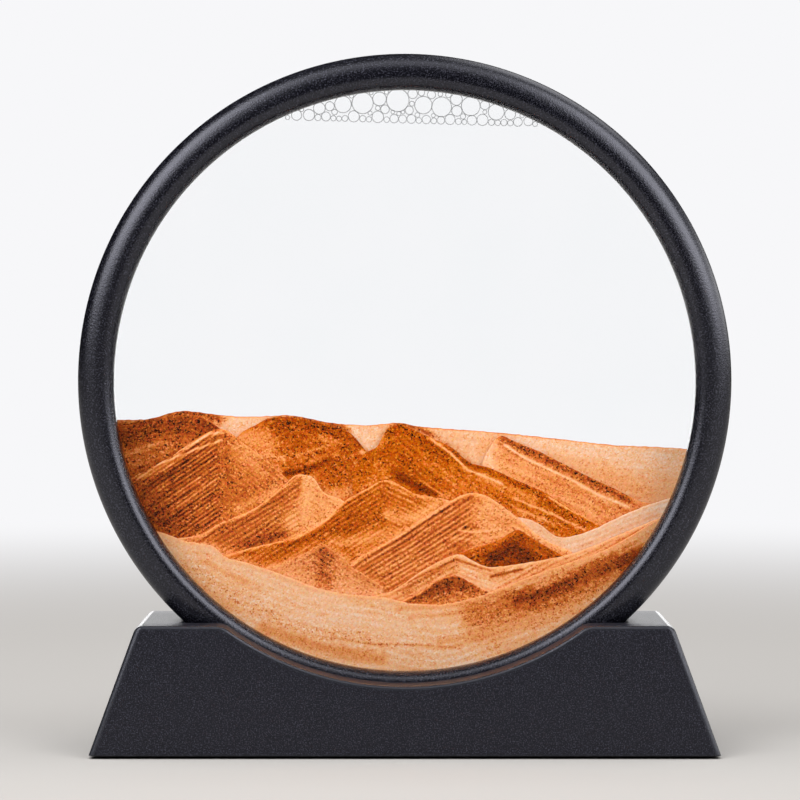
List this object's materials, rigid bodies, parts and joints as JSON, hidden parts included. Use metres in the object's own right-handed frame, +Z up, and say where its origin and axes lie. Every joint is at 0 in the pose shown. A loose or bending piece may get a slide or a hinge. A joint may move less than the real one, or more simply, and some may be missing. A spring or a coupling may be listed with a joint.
{
  "type": "moving sand art frame",
  "caption": "Round black ring frame with a glass cell of water, coloured sand dunes and air bubbles, resting in the groove of a trapezoid stand; it lifts out and turns over so the sand flows.",
  "frame": {"origin": "on the table under the middle of the stand, at the bottom of the rubber feet", "axes": "+X to the right seen from the front, +Y to the back along the ring's axis, +Z up"},
  "size_m": [0.18, 0.046, 0.1923],
  "materials": {
    "black_abs": "satin, finely textured moulding",
    "floor_abs": "matte",
    "black_rubber": "matte",
    "clear_glass": "polished",
    "clear_acrylic": "polished",
    "silicone": "translucent silicone",
    "zinc_steel": "zinc plated",
    "clear_water": "clear liquid",
    "air_bubbles": "clear bubbles",
    "pale_sand": "fine pale sand",
    "orange_sand": "orange sand with dark grains",
    "dark_sand": "dark brown sand"
  },
  "bodies": {
    "base": {"base_shell": "black_abs", "base_floor": "floor_abs", "floor_screw_front_left": "zinc_steel", "floor_screw_front_right": "zinc_steel", "floor_screw_rear_left": "zinc_steel", "floor_screw_rear_right": "zinc_steel", "foot_front_left": "black_rubber", "foot_front_right": "black_rubber", "foot_rear_left": "black_rubber", "foot_rear_right": "black_rubber"},
    "water": {"water": "clear_water"},
    "frame": {"front_ring": "black_abs", "rear_ring": "black_abs", "edge_band": "black_rubber", "front_pane": "clear_glass", "rear_pane": "clear_glass", "spacer_ring": "clear_acrylic", "front_gasket": "silicone", "rear_gasket": "silicone", "fill_plug": "black_rubber", "bubble_raft": "air_bubbles", "sand_skyline": "pale_sand", "sand_east_flat": "pale_sand", "sand_front_ridge": "pale_sand", "sand_bed": "pale_sand", "sand_east_slope": "orange_sand", "sand_centre_hill": "orange_sand", "sand_left_dune": "orange_sand", "sand_left_ridge": "orange_sand", "sand_middle_ridge": "orange_sand", "sand_long_ridge": "orange_sand", "sand_west_hill": "dark_sand", "sand_saddle_hill": "dark_sand", "sand_dark_peak": "dark_sand", "sand_small_dune": "dark_sand", "sand_front_knoll": "dark_sand"}
  },
  "joints": [
    {"name": "frame_lift", "type": "slide", "parent": "base", "child": "water", "axis": [0, 0, 1], "range_m": [0, 0.04]},
    {"name": "frame_spin", "type": "hinge", "parent": "water", "child": "frame", "pos_m": [0, 0, 0.1023], "axis": [0, 1, 0], "continuous": true}
  ]
}
